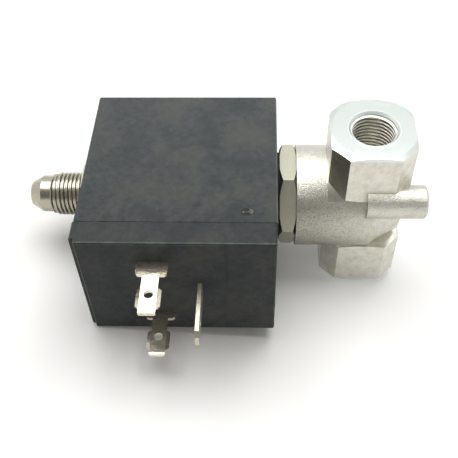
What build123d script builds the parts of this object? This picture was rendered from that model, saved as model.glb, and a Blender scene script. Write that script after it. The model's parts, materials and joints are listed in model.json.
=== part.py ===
"""3/2-way direct-acting solenoid valve with two opposed pipe ports and a threaded exhaust.

Frame: X runs along the armature tube, from the exhaust end towards the forged body.
Z runs along the port axis, upwards. Y points away from the terminals.
The origin lies on the port axis, where the full thread of the lower port begins.
All sizes are millimetres. Every piece is built about the tube axis and lifted into place
at the end, so x = 0 is the port axis and y = z = 0 is the tube axis until then.
"""
import os

from build123d import *

# ---------------------------------------------------------------- coil block
COIL_LENGTH = 40.4
COIL_HEIGHT = 30.0
COIL_BACK = 16.4
COIL_FRONT = 26.45
COIL_EDGE_RADIUS = 0.45
COIL_BORE_CLEARANCE = 0.1
SEAM_DEPTH = 5.3
SEAM_STEP = 0.25
SEAM_GROOVE = 0.12
PAD_LENGTH = 28.8
PAD_FROM_END = 1.3
PAD_THICKNESS = 0.2
REBATE = 1.0

# ---------------------------------------------------------------- coil internals
YOKE_THICKNESS = 2.0
YOKE_COVER = 1.6
YOKE_FRONT = 12.5
YOKE_BEND_RADIUS = 1.0
BUSH_WALL = 1.2
BUSH_LENGTH = 7.0
BOBBIN_WALL = 0.9
BOBBIN_FLANGE = 1.2
BOBBIN_YOKE_GAP = 0.1
WINDING_SETBACK = 0.7

# ---------------------------------------------------------------- terminals
TAB_THICKNESS = 0.8
TAB_PITCH = 18.0
TAB_TONGUE_WIDTH = 3.3
TAB_WING_WIDTH = 4.8
TAB_WING_THICKNESS = 0.4
TAB_FOOT_WIDTH = 6.3
TAB_LENGTH = 14.2
TAB_FOOT_LENGTH = 5.1
TAB_WING_LENGTH = 4.6
TAB_WING_FROM_TIP = 1.6
TAB_HOLE_DIAMETER = 1.9
TAB_HOLE_FROM_TIP = 4.5
TAB_TIP_CHAMFER = 0.5
TAB_END_BEVEL = 0.3
UPPER_TAB_REACH = 12.3
LOWER_TAB_REACH = 10.6
TAB_X_FROM_COIL_END = 15.7
EARTH_TAB_OFFSET = 9.0
EARTH_TAB_REACH = 12.4
EARTH_TAB_WIDTH = 4.8

# ---------------------------------------------------------------- forged body
PORT_REACH = 20.4
PORT_THREAD_DIAMETER = 9.73
PORT_TAP_DRILL_DIAMETER = 8.6
PORT_CHAMFER_DIAMETER = 10.7
PORT_THREAD_DEPTH = 9.0
PORT_DRILL_DEPTH = 11.0
DRILL_POINT_ANGLE = 118.0
BOSS_FLATS = 18.0
BOSS_WIDTH = 17.5
BOSS_SHIFT = -0.25
BOSS_CORNER_FLATS = 20.1
BOSS_BACK_CORNER_RADIUS = 3.0
BOSS_FRONT_CORNER_RADIUS = 0.3
BOSS_LEDGE = 7.5
BOSS_LEDGE_RISE = 0.5
BOSS_FACE_RADIUS = 8.9
BOSS_CHAMFER_RISE = 0.8
BOSS_CHAMFER_RUN = 1.8
NECK_RADIUS = 11.4
NECK_PAST_PORTS = 1.1
NECK_EDGE_RADIUS = 0.5
NOSE_ROOT_RADIUS = 10.9
NOSE_TIP_RADIUS = 7.2
NOSE_REACH = 7.6
NOSE_EDGE_RADIUS = 1.2
STUB_RADIUS = 3.6
STUB_FORWARD = 7.95
STUB_RAISED = 6.6
STUB_REACH = 11.8
STUB_ROOT = 0.9
STUB_EDGE_RADIUS = 0.6

# ---------------------------------------------------------------- valve chamber
CHAMBER_FLOOR = 2.2
INLET_DRILL_RADIUS = 1.4
INLET_DRILL_X = 1.9
OUTLET_DRILL_RADIUS = 1.25
OUTLET_DRILL_X = 3.4
SEAT_BASE_RADIUS = 3.0
SEAT_BASE_DEPTH = 1.3
SEAT_STEM_RADIUS = 2.4
SEAT_LIP_RADIUS = 1.5
SEAT_ORIFICE_RADIUS = 0.9
SEAT_REACH = 5.5

# ---------------------------------------------------------------- armature tube
HEX_FLATS = 20.0
HEX_CORNER_DIAMETER = 23.3
HEX_THICKNESS = 3.6
HEX_FACE_DIAMETER = 20.4
HEX_CHAMFER_RISE = 0.75
HEX_TURN = 27.0
SPIGOT_RADIUS = 8.0
SPIGOT_LENGTH = 6.0
NECK_LENGTH = 15.6
TUBE_OUTER_RADIUS = 6.5
TUBE_WALL = 0.5
TUBE_IN_FLANGE = 5.0
FIT_CLEARANCE = 0.02
RUNNING_CLEARANCE = 0.05
O_RING_SECTION = 1.5
O_RING_POCKET_CLEARANCE = 0.1
GASKET_THICKNESS = 0.7
GASKET_RADIUS = 9.6

# ---------------------------------------------------------------- plunger and fixed core
PLUNGER_STROKE = 1.2
PLUNGER_LENGTH = 28.0
PLUNGER_SEAL_RADIUS = 3.0
PLUNGER_SEAL_THICKNESS = 2.0
PLUNGER_SEAL_PROUD = 0.5
PLUNGER_SLOT_WIDTH = 2.0
PLUNGER_SLOT_DEPTH = 1.3
PLUNGER_SLOT_COUNT = 4
EXHAUST_SEAL_RADIUS = 1.7
EXHAUST_SEAL_THICKNESS = 2.0
EXHAUST_SEAL_PROUD = 0.3
SPRING_POCKET_DEPTH = 6.0
SPRING_POCKET_RADIUS = 4.4
SPRING_STEM_RADIUS = 2.5
SPRING_WIRE_RADIUS = 0.25
SPRING_TURNS = 5
STOP_GAP = 0.3
CORE_BORE_RADIUS = 1.3
CORE_SEAT_RADIUS = 1.6
CORE_SEAT_HEIGHT = 0.25
CORE_HEAD_LENGTH = 2.6
CORE_HEAD_SETBACK = 0.4
SHADING_RING_RADIUS = 5.5
SHADING_RING_WIDTH = 0.8
SHADING_RING_DEPTH = 1.5

# ---------------------------------------------------------------- exhaust outlet
EXHAUST_THREAD_DIAMETER = 9.73
EXHAUST_PITCH_DIAMETER = 9.15
EXHAUST_THREAD_LENGTH = 10.5
EXHAUST_THREAD_CHAMFER = 0.6
EXHAUST_NECK_DIAMETER = 8.35
EXHAUST_NECK_LENGTH = 2.25
EXHAUST_CONE_LENGTH = 2.7
EXHAUST_TIP_DIAMETER = 5.3
EXHAUST_TIP_EDGE_RADIUS = 0.9
EXHAUST_BORE_RADIUS = 1.5
EXHAUST_BORE_DEPTH = 12.0

# ---------------------------------------------------------------- nut and washer
NUT_FLATS = 14.0
NUT_THICKNESS = 2.2
NUT_CHAMFER_RISE = 0.5
HEXAGON_CORNER_RATIO = 1.1547
WASHER_INNER_RADIUS = 5.1
WASHER_OUTER_RADIUS = 7.6
WASHER_THICKNESS = 0.4
WASHER_HEIGHT = 0.7

# ---------------------------------------------------------------- places along the tube
PORT_CHAMFER_DEPTH = (PORT_CHAMFER_DIAMETER - PORT_THREAD_DIAMETER) / 2
TUBE_AXIS_Z = PORT_REACH - PORT_CHAMFER_DEPTH
NECK_FACE_X = -NECK_LENGTH
HEX_FACE_X = NECK_FACE_X - HEX_THICKNESS
COIL_RIGHT_X = HEX_FACE_X - GASKET_THICKNESS
COIL_LEFT_X = COIL_RIGHT_X - COIL_LENGTH
TUBE_FRONT_X = NECK_FACE_X - HEX_THICKNESS + TUBE_IN_FLANGE
TUBE_INNER_RADIUS = TUBE_OUTER_RADIUS - TUBE_WALL
COIL_BORE_RADIUS = TUBE_OUTER_RADIUS + COIL_BORE_CLEARANCE
SEAT_LIP_X = -SEAT_REACH
PLUNGER_FRONT_X = SEAT_LIP_X - PLUNGER_SEAL_PROUD
PLUNGER_REAR_X = PLUNGER_FRONT_X - PLUNGER_LENGTH
CORE_FACE_X = PLUNGER_REAR_X - PLUNGER_STROKE - STOP_GAP - CORE_SEAT_HEIGHT
CORE_HEAD_X = COIL_LEFT_X + CORE_HEAD_SETBACK
CORE_SHOULDER_X = CORE_HEAD_X + CORE_HEAD_LENGTH
THREAD_END_X = COIL_LEFT_X - EXHAUST_THREAD_LENGTH
EXHAUST_NECK_END_X = THREAD_END_X - EXHAUST_NECK_LENGTH
EXHAUST_TIP_X = EXHAUST_NECK_END_X - EXHAUST_CONE_LENGTH
NUT_FACE_X = COIL_LEFT_X - WASHER_HEIGHT
NUT_END_X = NUT_FACE_X - NUT_THICKNESS
TERMINAL_FACE_Y = -COIL_FRONT - PAD_THICKNESS
YOKE_WEB_Y = COIL_BACK - YOKE_COVER - YOKE_THICKNESS
BOBBIN_FLANGE_RADIUS = YOKE_WEB_Y - YOKE_BEND_RADIUS - BOBBIN_YOKE_GAP
WINDING_RADIUS = BOBBIN_FLANGE_RADIUS - WINDING_SETBACK
TAB_X = COIL_LEFT_X + TAB_X_FROM_COIL_END


# ---------------------------------------------------------------- helpers
def rod(radius, x_from, x_to):
    """Round bar along the tube axis between two stations."""
    length = abs(x_to - x_from)
    middle = (x_from + x_to) / 2
    return Pos(middle, 0, 0) * Rot(0, 90, 0) * Cylinder(radius, length)


def pipe(outer, inner, x_from, x_to):
    """Tube along the tube axis between two stations."""
    return rod(outer, x_from, x_to) - rod(inner, x_from, x_to)


def block(x_from, x_to, y_from, y_to, z_from, z_to):
    """Rectangular block between six limits."""
    size = (x_to - x_from, y_to - y_from, z_to - z_from)
    centre = ((x_from + x_to) / 2, (y_from + y_to) / 2, (z_from + z_to) / 2)
    return Pos(*centre) * Box(*size)


def turned(points):
    """Piece turned about the tube axis from its (x, radius) outline."""
    outline = Polyline(*[(x, radius) for x, radius in points], close=True)
    return revolve(make_face(outline), Axis.X, 360)


def turned_nut(flats, corner_diameter, x_from, x_to, face_diameter, rise, turn=0.0):
    """Hexagon with its corners turned off at both faces, as a nut's are."""
    hexagon = RegularPolygon(flats / 2, 6, major_radius=False, rotation=90)
    prism = extrude(Plane.YZ * hexagon, x_to - x_from)
    prism = Pos(x_from, 0, 0) * Rot(turn, 0, 0) * prism
    corner = corner_diameter / 2
    face = face_diameter / 2
    outline = [(x_from, 0), (x_from, face), (x_from + rise, corner)]
    outline += [(x_to - rise, corner), (x_to, face), (x_to, 0)]
    return prism & turned(outline)


# ---------------------------------------------------------------- forged body
def boss(ledge, face):
    """Port boss above the tube axis: flats, 45 degree corners, both ends turned."""
    length = face - ledge
    square = Pos(BOSS_SHIFT, 0, 0) * Rectangle(BOSS_WIDTH, BOSS_FLATS)
    diamond = Rot(0, 0, 45) * Rectangle(BOSS_CORNER_FLATS, BOSS_CORNER_FLATS)
    prism = Pos(0, 0, ledge) * extrude(square & Pos(BOSS_SHIFT, 0, 0) * diamond, length)
    back = prism.edges().filter_by(Axis.Z).filter_by_position(Axis.Y, 0, BOSS_FLATS)
    prism = fillet(back, BOSS_BACK_CORNER_RADIUS)
    front = prism.edges().filter_by(Axis.Z).filter_by_position(Axis.Y, -BOSS_FLATS, 0)
    prism = fillet(front, BOSS_FRONT_CORNER_RADIUS)
    outer = BOSS_FACE_RADIUS + BOSS_CHAMFER_RUN
    outline = Polyline(
        (0, ledge),
        (BOSS_FACE_RADIUS, ledge),
        (outer, ledge + BOSS_LEDGE_RISE),
        (outer, face - BOSS_CHAMFER_RISE),
        (BOSS_FACE_RADIUS, face),
        (0, face),
        close=True,
    )
    envelope = revolve(make_face(Plane.XZ * outline), Axis.Z, 360)
    return prism & envelope


def port_bore():
    """Chamfered, threaded and tap-drilled blind bore of the upper port, as one cutter."""
    mouth = PORT_REACH
    thread = PORT_THREAD_DIAMETER / 2
    drill = PORT_TAP_DRILL_DIAMETER / 2
    chamfer_radius = PORT_CHAMFER_DIAMETER / 2
    point = drill / tan_degrees(DRILL_POINT_ANGLE / 2)
    thread_end = mouth - PORT_CHAMFER_DEPTH - PORT_THREAD_DEPTH
    drill_end = mouth - PORT_DRILL_DEPTH
    outline = Polyline(
        (0, mouth),
        (chamfer_radius, mouth),
        (thread, mouth - PORT_CHAMFER_DEPTH),
        (thread, thread_end),
        (drill, thread_end),
        (drill, drill_end),
        (0, drill_end - point),
        close=True,
    )
    return revolve(make_face(Plane.XZ * outline), Axis.Z, 360)


def tan_degrees(angle):
    """Tangent of an angle in degrees, from the slope of a unit vector."""
    direction = Vector(1, 0, 0).rotate(Axis.Z, angle)
    return direction.Y / direction.X


def make_valve_body():
    """Forging: neck, tapered nose, two port bosses and the stub rod, then its bores."""
    neck = rod(NECK_RADIUS, NECK_FACE_X, NECK_PAST_PORTS)
    neck = fillet(neck.edges().group_by(Axis.X)[-1], NECK_EDGE_RADIUS)
    nose = turned(
        [
            (0, 0),
            (0, NOSE_ROOT_RADIUS),
            (NECK_PAST_PORTS, NOSE_ROOT_RADIUS),
            (NOSE_REACH, NOSE_TIP_RADIUS),
            (NOSE_REACH, 0),
        ]
    )
    nose = fillet(nose.edges().group_by(Axis.X)[-1], NOSE_EDGE_RADIUS)
    upper = boss(BOSS_LEDGE, PORT_REACH)
    stub = Pos(0, -STUB_FORWARD, STUB_RAISED) * rod(STUB_RADIUS, -STUB_ROOT, STUB_REACH)
    stub = fillet(stub.edges().group_by(Axis.X)[-1], STUB_EDGE_RADIUS)
    body = neck + nose + upper + mirror(upper, Plane.XY) + stub

    body -= port_bore()
    body -= mirror(port_bore(), Plane.XY)
    body -= rod(SPIGOT_RADIUS + FIT_CLEARANCE, NECK_FACE_X, NECK_FACE_X + SPIGOT_LENGTH)
    pocket_depth = O_RING_SECTION + O_RING_POCKET_CLEARANCE
    pocket_radius = SPIGOT_RADIUS + pocket_depth
    body -= rod(pocket_radius, NECK_FACE_X, NECK_FACE_X + pocket_depth)
    body -= rod(TUBE_OUTER_RADIUS, NECK_FACE_X, -CHAMBER_FLOOR)
    body -= rod(SEAT_BASE_RADIUS, -CHAMBER_FLOOR, -CHAMBER_FLOOR + SEAT_BASE_DEPTH)
    cross_end = INLET_DRILL_X + INLET_DRILL_RADIUS
    body -= rod(INLET_DRILL_RADIUS, -CHAMBER_FLOOR, cross_end)
    drill_depth = PORT_DRILL_DEPTH - PORT_REACH
    inlet = Cylinder(INLET_DRILL_RADIUS, -drill_depth, align=(Align.CENTER, Align.CENTER, Align.MAX))
    body -= Pos(INLET_DRILL_X, 0, 0) * inlet
    outlet = Cylinder(OUTLET_DRILL_RADIUS, -drill_depth, align=(Align.CENTER, Align.CENTER, Align.MIN))
    body -= Pos(-OUTLET_DRILL_X, 0, SEAT_BASE_RADIUS) * outlet
    return body


def make_orifice_seat():
    """Stainless main seat pressed into the chamber floor, with a narrow sealing lip."""
    base_x = -CHAMBER_FLOOR + SEAT_BASE_DEPTH
    stem_x = -CHAMBER_FLOOR
    outline = [
        (base_x, SEAT_ORIFICE_RADIUS),
        (base_x, SEAT_BASE_RADIUS),
        (stem_x, SEAT_BASE_RADIUS),
        (stem_x, SEAT_STEM_RADIUS),
        (SEAT_LIP_X, SEAT_LIP_RADIUS),
        (SEAT_LIP_X, SEAT_ORIFICE_RADIUS),
    ]
    return turned(outline)


# ---------------------------------------------------------------- armature tube
def make_tube_flange():
    """Hexagon flange with the spigot that screws into the neck."""
    hexagon = turned_nut(
        HEX_FLATS,
        HEX_CORNER_DIAMETER,
        HEX_FACE_X,
        NECK_FACE_X,
        HEX_FACE_DIAMETER,
        HEX_CHAMFER_RISE,
        HEX_TURN,
    )
    spigot = rod(SPIGOT_RADIUS, NECK_FACE_X, NECK_FACE_X + SPIGOT_LENGTH)
    tip = spigot.edges().group_by(Axis.X)[-1]
    spigot = chamfer(tip, O_RING_SECTION / 3)
    flange = hexagon + spigot
    flange -= rod(TUBE_INNER_RADIUS, HEX_FACE_X, NECK_FACE_X + SPIGOT_LENGTH)
    flange -= rod(TUBE_OUTER_RADIUS + FIT_CLEARANCE, HEX_FACE_X, TUBE_FRONT_X)
    return flange


def make_guide_tube():
    """Thin stainless tube from the flange to the fixed core's head."""
    return pipe(TUBE_OUTER_RADIUS, TUBE_INNER_RADIUS, CORE_SHOULDER_X, TUBE_FRONT_X)


def make_body_o_ring():
    """O-ring in the neck's pocket, under the hexagon."""
    section = O_RING_SECTION / 2
    mean_radius = SPIGOT_RADIUS + O_RING_POCKET_CLEARANCE / 2 + section
    ring = Rot(0, 90, 0) * Torus(mean_radius, section)
    return Pos(NECK_FACE_X + section, 0, 0) * ring


def make_coil_gasket():
    """Flat rubber ring between the coil and the hexagon."""
    return pipe(GASKET_RADIUS, COIL_BORE_RADIUS, COIL_RIGHT_X, HEX_FACE_X)


def make_fixed_core():
    """Fixed core: pole face with exhaust seat, head, thread, neck and sealing cone.

    The thread has its full diameter where it is free, and its pitch diameter in the nut.
    """
    body_radius = TUBE_INNER_RADIUS - FIT_CLEARANCE
    engaged = EXHAUST_PITCH_DIAMETER / 2
    thread = EXHAUST_THREAD_DIAMETER / 2
    outlet_neck = EXHAUST_NECK_DIAMETER / 2
    outline = [
        (CORE_FACE_X, 0),
        (CORE_FACE_X, body_radius),
        (CORE_SHOULDER_X, body_radius),
        (CORE_SHOULDER_X, TUBE_OUTER_RADIUS),
        (CORE_HEAD_X, TUBE_OUTER_RADIUS),
        (CORE_HEAD_X, engaged),
        (NUT_END_X, engaged),
        (NUT_END_X, thread),
        (THREAD_END_X + EXHAUST_THREAD_CHAMFER, thread),
        (THREAD_END_X, thread - EXHAUST_THREAD_CHAMFER),
        (THREAD_END_X, outlet_neck),
        (EXHAUST_NECK_END_X, outlet_neck),
        (EXHAUST_TIP_X, EXHAUST_TIP_DIAMETER / 2),
        (EXHAUST_TIP_X, 0),
    ]
    core = turned(outline)
    core = fillet(core.edges().group_by(Axis.X)[0], EXHAUST_TIP_EDGE_RADIUS)
    core += rod(CORE_SEAT_RADIUS, CORE_FACE_X, CORE_FACE_X + CORE_SEAT_HEIGHT)
    core -= rod(CORE_BORE_RADIUS, EXHAUST_TIP_X, CORE_FACE_X + CORE_SEAT_HEIGHT)
    core -= rod(EXHAUST_BORE_RADIUS, EXHAUST_TIP_X, EXHAUST_TIP_X + EXHAUST_BORE_DEPTH)
    inner = SHADING_RING_RADIUS - SHADING_RING_WIDTH
    core -= pipe(SHADING_RING_RADIUS, inner, CORE_FACE_X - SHADING_RING_DEPTH, CORE_FACE_X)
    return core


def make_shading_ring():
    """Copper ring let into the pole face, which stops the hum on alternating current."""
    inner = SHADING_RING_RADIUS - SHADING_RING_WIDTH
    return pipe(SHADING_RING_RADIUS, inner, CORE_FACE_X - SHADING_RING_DEPTH, CORE_FACE_X)


# ---------------------------------------------------------------- plunger
def make_plunger():
    """Moving core with a seal in each end, a spring pocket and flow slots along its side."""
    radius = TUBE_INNER_RADIUS - RUNNING_CLEARANCE
    plunger = rod(radius, PLUNGER_REAR_X, PLUNGER_FRONT_X)
    pocket_end = PLUNGER_REAR_X + SPRING_POCKET_DEPTH
    plunger -= pipe(SPRING_POCKET_RADIUS, SPRING_STEM_RADIUS, PLUNGER_REAR_X, pocket_end)
    seal_depth = PLUNGER_SEAL_THICKNESS - PLUNGER_SEAL_PROUD
    plunger -= rod(PLUNGER_SEAL_RADIUS, PLUNGER_FRONT_X - seal_depth, PLUNGER_FRONT_X)
    exhaust_depth = EXHAUST_SEAL_THICKNESS - EXHAUST_SEAL_PROUD
    plunger -= rod(EXHAUST_SEAL_RADIUS, PLUNGER_REAR_X, PLUNGER_REAR_X + exhaust_depth)
    half_slot = PLUNGER_SLOT_WIDTH / 2
    slot = block(
        PLUNGER_REAR_X,
        PLUNGER_FRONT_X,
        radius - PLUNGER_SLOT_DEPTH,
        radius,
        -half_slot,
        half_slot,
    )
    for index in range(PLUNGER_SLOT_COUNT):
        plunger -= Rot(360 / PLUNGER_SLOT_COUNT * index, 0, 0) * slot
    return plunger


def make_plunger_seal():
    """Rubber disc that closes the main seat."""
    front = PLUNGER_FRONT_X + PLUNGER_SEAL_PROUD
    return rod(PLUNGER_SEAL_RADIUS, front - PLUNGER_SEAL_THICKNESS, front)


def make_exhaust_seal():
    """Rubber disc that closes the exhaust seat when the plunger is drawn back."""
    rear = PLUNGER_REAR_X - EXHAUST_SEAL_PROUD
    return rod(EXHAUST_SEAL_RADIUS, rear, rear + EXHAUST_SEAL_THICKNESS)


def make_plunger_spring():
    """Compression spring from the plunger's pocket to the pole face."""
    mean_radius = (SPRING_POCKET_RADIUS + SPRING_STEM_RADIUS) / 2
    start_x = CORE_FACE_X + SPRING_WIRE_RADIUS + FIT_CLEARANCE
    end_x = PLUNGER_REAR_X + SPRING_POCKET_DEPTH - SPRING_WIRE_RADIUS - FIT_CLEARANCE
    height = end_x - start_x
    coil = Helix(height / SPRING_TURNS, height, mean_radius)
    wire = Plane(coil @ 0, z_dir=coil % 0) * Circle(SPRING_WIRE_RADIUS)
    spring = sweep(wire, path=coil, is_frenet=True)
    return Pos(start_x, 0, 0) * Rot(0, 90, 0) * spring


# ---------------------------------------------------------------- coil
def make_yoke_frame():
    """Bent steel strap: a leg at each end of the bobbin and a web along the back."""
    left = COIL_LEFT_X + YOKE_COVER
    right = COIL_RIGHT_X - YOKE_COVER
    height = COIL_HEIGHT / 2 - YOKE_COVER
    frame = block(left, right, -YOKE_FRONT, YOKE_WEB_Y + YOKE_THICKNESS, -height, height)
    bends = frame.edges().filter_by(Axis.Z).group_by(Axis.Y)[-1]
    frame = fillet(bends, YOKE_BEND_RADIUS + YOKE_THICKNESS)
    inside = block(
        left + YOKE_THICKNESS,
        right - YOKE_THICKNESS,
        -YOKE_FRONT,
        YOKE_WEB_Y,
        -height,
        height,
    )
    inner_bends = inside.edges().filter_by(Axis.Z).group_by(Axis.Y)[-1]
    inside = fillet(inner_bends, YOKE_BEND_RADIUS)
    frame -= inside
    frame -= rod(COIL_BORE_RADIUS + BUSH_WALL, left, right)
    return frame


def make_flux_bush(outer_x, direction):
    """Steel bush pressed into a yoke leg, which leads the flux to the tube."""
    return pipe(
        COIL_BORE_RADIUS + BUSH_WALL,
        COIL_BORE_RADIUS,
        outer_x,
        outer_x + direction * BUSH_LENGTH,
    )


def make_coil_bobbin():
    """Winding former: a sleeve over the bushes with a flange at each end."""
    left = COIL_LEFT_X + YOKE_COVER + YOKE_THICKNESS
    right = COIL_RIGHT_X - YOKE_COVER - YOKE_THICKNESS
    sleeve_inner = COIL_BORE_RADIUS + BUSH_WALL
    bobbin = rod(sleeve_inner + BOBBIN_WALL, left, right)
    bobbin += rod(BOBBIN_FLANGE_RADIUS, left, left + BOBBIN_FLANGE)
    bobbin += rod(BOBBIN_FLANGE_RADIUS, right - BOBBIN_FLANGE, right)
    bush_overlap = BUSH_LENGTH - YOKE_THICKNESS
    bobbin -= rod(COIL_BORE_RADIUS, left, right)
    bobbin -= rod(sleeve_inner, left, left + bush_overlap)
    bobbin -= rod(sleeve_inner, right - bush_overlap, right)
    return bobbin


def make_coil_winding():
    """Enamelled copper winding, as the solid ring that its turns fill."""
    left = COIL_LEFT_X + YOKE_COVER + YOKE_THICKNESS + BOBBIN_FLANGE
    right = COIL_RIGHT_X - YOKE_COVER - YOKE_THICKNESS - BOBBIN_FLANGE
    return pipe(WINDING_RADIUS, COIL_BORE_RADIUS + BUSH_WALL + BOBBIN_WALL, left, right)


def make_power_tab(reach, height):
    """Folded sheet terminal: wide foot, narrow tongue with side wings, wire hole."""
    tip = TERMINAL_FACE_Y - reach
    root = tip + TAB_LENGTH
    foot_end = root - TAB_FOOT_LENGTH
    half = TAB_THICKNESS / 2
    foot = block(
        TAB_X - TAB_FOOT_WIDTH / 2,
        TAB_X + TAB_FOOT_WIDTH / 2,
        foot_end,
        root,
        height - half,
        height + half,
    )
    shoulders = foot.edges().filter_by(Axis.Z).group_by(Axis.Y)[0]
    foot = fillet(shoulders, TAB_THICKNESS)
    tongue = block(
        TAB_X - TAB_TONGUE_WIDTH / 2,
        TAB_X + TAB_TONGUE_WIDTH / 2,
        tip,
        foot_end,
        height - half,
        height + half,
    )
    tongue = chamfer(tongue.edges().group_by(Axis.Y)[0], TAB_END_BEVEL)
    wing_tip = tip + TAB_WING_FROM_TIP
    wings = block(
        TAB_X - TAB_WING_WIDTH / 2,
        TAB_X + TAB_WING_WIDTH / 2,
        wing_tip,
        wing_tip + TAB_WING_LENGTH,
        height - half,
        height - half + TAB_WING_THICKNESS,
    )
    wings = chamfer(wings.edges().filter_by(Axis.Z), TAB_TIP_CHAMFER)
    hole = Cylinder(TAB_HOLE_DIAMETER / 2, 2 * TAB_THICKNESS)
    return foot + tongue + wings - Pos(TAB_X, tip + TAB_HOLE_FROM_TIP, height) * hole


def make_earth_tab():
    """Flat earth terminal, set on edge beside the two power terminals."""
    x = TAB_X + EARTH_TAB_OFFSET
    tip = TERMINAL_FACE_Y - EARTH_TAB_REACH
    half = TAB_THICKNESS / 2
    width = EARTH_TAB_WIDTH / 2
    blade = block(x - half, x + half, tip, tip + TAB_LENGTH, -width, width)
    tip_edges = blade.edges().filter_by(Axis.X).group_by(Axis.Y)[0]
    blade = chamfer(tip_edges, TAB_TIP_CHAMFER * 2)
    hole = Rot(0, 90, 0) * Cylinder(TAB_HOLE_DIAMETER / 2, 2 * TAB_THICKNESS)
    return blade - Pos(x, tip + TAB_HOLE_FROM_TIP, 0) * hole


def make_coil_moulding(inserts):
    """Black encapsulation round the inserts: main block, stepped front, raised pad."""
    half = COIL_HEIGHT / 2
    seam_y = -COIL_FRONT + SEAM_DEPTH
    rear = block(COIL_LEFT_X, COIL_RIGHT_X, seam_y, COIL_BACK, -half, half)
    rear_edges = rear.edges().group_by(Axis.Y)[-1] + rear.edges().filter_by(Axis.Y)
    rear = fillet(rear_edges, COIL_EDGE_RADIUS)
    rear = chamfer(rear.edges().group_by(Axis.Y)[0], SEAM_GROOVE)
    front = block(
        COIL_LEFT_X - SEAM_STEP,
        COIL_RIGHT_X - SEAM_STEP,
        -COIL_FRONT,
        seam_y,
        -half,
        half,
    )
    front_edges = front.edges().group_by(Axis.Y)[0] + front.edges().filter_by(Axis.Y)
    front = fillet(front_edges, COIL_EDGE_RADIUS)
    front = chamfer(front.edges().group_by(Axis.Y)[-1], SEAM_GROOVE)
    pad = block(
        COIL_LEFT_X + PAD_FROM_END,
        COIL_LEFT_X + PAD_FROM_END + PAD_LENGTH,
        -COIL_FRONT - PAD_THICKNESS,
        -COIL_FRONT,
        -half + REBATE,
        half - COIL_EDGE_RADIUS,
    )
    pad = fillet(pad.edges().filter_by(Axis.Y).group_by(Axis.Z)[0], REBATE)
    moulding = rear + front + pad
    moulding -= block(
        COIL_LEFT_X - SEAM_STEP,
        COIL_LEFT_X - SEAM_STEP + REBATE,
        -COIL_FRONT,
        -COIL_FRONT + REBATE,
        -half,
        half,
    )
    moulding -= rod(COIL_BORE_RADIUS, COIL_LEFT_X, COIL_RIGHT_X)
    for insert in inserts:
        moulding -= insert
    return moulding


# ---------------------------------------------------------------- nut and washer
def make_retaining_nut():
    """Thin hexagon nut on the exhaust thread, which holds the coil."""
    nut = turned_nut(
        NUT_FLATS,
        NUT_FLATS * HEXAGON_CORNER_RATIO,
        NUT_END_X,
        NUT_FACE_X,
        NUT_FLATS,
        NUT_CHAMFER_RISE,
    )
    threaded_bore = rod(EXHAUST_PITCH_DIAMETER / 2 + FIT_CLEARANCE, NUT_END_X, NUT_FACE_X)
    return nut - threaded_bore


def make_spring_washer():
    """Dished spring washer between the nut and the coil."""
    outline = [
        (NUT_FACE_X, WASHER_INNER_RADIUS),
        (NUT_FACE_X + WASHER_THICKNESS, WASHER_INNER_RADIUS),
        (COIL_LEFT_X, WASHER_OUTER_RADIUS),
        (COIL_LEFT_X - WASHER_THICKNESS, WASHER_OUTER_RADIUS),
    ]
    return turned(outline)


# ---------------------------------------------------------------- assembly
def main():
    """Build every piece, lift it onto the port axis frame and write it."""
    yoke_left = COIL_LEFT_X + YOKE_COVER
    yoke_right = COIL_RIGHT_X - YOKE_COVER
    coil_inserts = {
        "coil_bobbin": make_coil_bobbin(),
        "coil_winding": make_coil_winding(),
        "yoke_frame": make_yoke_frame(),
        "flux_bush_outer": make_flux_bush(yoke_left, 1),
        "flux_bush_inner": make_flux_bush(yoke_right, -1),
        "power_tab_upper": make_power_tab(UPPER_TAB_REACH, TAB_PITCH / 2),
        "power_tab_lower": make_power_tab(LOWER_TAB_REACH, -TAB_PITCH / 2),
        "earth_tab": make_earth_tab(),
    }
    pieces = {
        "valve_body": make_valve_body(),
        "orifice_seat": make_orifice_seat(),
        "tube_flange": make_tube_flange(),
        "guide_tube": make_guide_tube(),
        "body_o_ring": make_body_o_ring(),
        "coil_gasket": make_coil_gasket(),
        "fixed_core": make_fixed_core(),
        "shading_ring": make_shading_ring(),
        "plunger": make_plunger(),
        "plunger_seal": make_plunger_seal(),
        "exhaust_seal": make_exhaust_seal(),
        "plunger_spring": make_plunger_spring(),
        "retaining_nut": make_retaining_nut(),
        "spring_washer": make_spring_washer(),
        "coil_moulding": make_coil_moulding(coil_inserts.values()),
    }
    pieces.update(coil_inserts)
    os.makedirs("parts", exist_ok=True)
    lift = Pos(0, 0, TUBE_AXIS_Z)
    for name, piece in pieces.items():
        placed = lift * piece
        export_step(placed, f"parts/{name}.step")
        box = placed.bounding_box()
        print(name, len(placed.solids()), round(placed.volume, 1), box.min, box.max)


main()
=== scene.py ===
# %% [markdown]
# # A three-way solenoid valve, finished in Blender
#
# The solids of the valve come from the CAD model, at their real size and place.
# This lesson gives them their surfaces: shot-blasted and machined nickel plate, turned
# stainless steel, black moulded resin and tin-plated blades. It also grows the screw
# threads and winds the copper wire, which the solids leave out, and lights the valve as
# on a white table under a wide window.

# %% Load the solids
import json
import math

import bmesh
import bpy
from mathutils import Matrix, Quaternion, Vector, noise


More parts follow.
